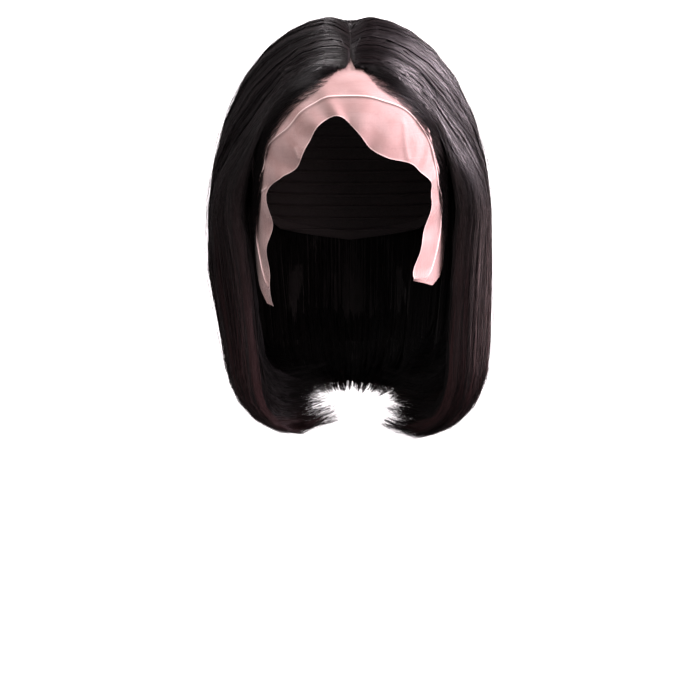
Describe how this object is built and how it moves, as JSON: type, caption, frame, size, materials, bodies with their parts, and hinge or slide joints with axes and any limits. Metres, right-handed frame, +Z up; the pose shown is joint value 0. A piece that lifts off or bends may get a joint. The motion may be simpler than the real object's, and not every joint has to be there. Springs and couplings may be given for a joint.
{
  "type": "lace front wig",
  "caption": "Black centre-parted straight bob wig with ends turned under, on a thin hollow cap with a sheer untrimmed lace panel at the front.",
  "frame": {"origin": "the point inside the cap where the crown of a head sits", "axes": "+Z up, the wig faces -Y, the viewer's right is +X"},
  "size_m": [0.2194, 0.2071, 0.3298],
  "materials": {
    "lace_net": "sheer flesh-coloured net, matt",
    "cap_mesh": "black stretch mesh with sewn wefts, matt",
    "hair_side": "natural black hair with a brown cast, soft gloss",
    "hair_back": "natural black hair, soft gloss"
  },
  "bodies": {
    "root": {"lace_front": "lace_net", "wig_cap": "cap_mesh", "hair_left": "hair_side", "hair_right": "hair_side", "hair_back": "hair_back"}
  },
  "joints": []
}
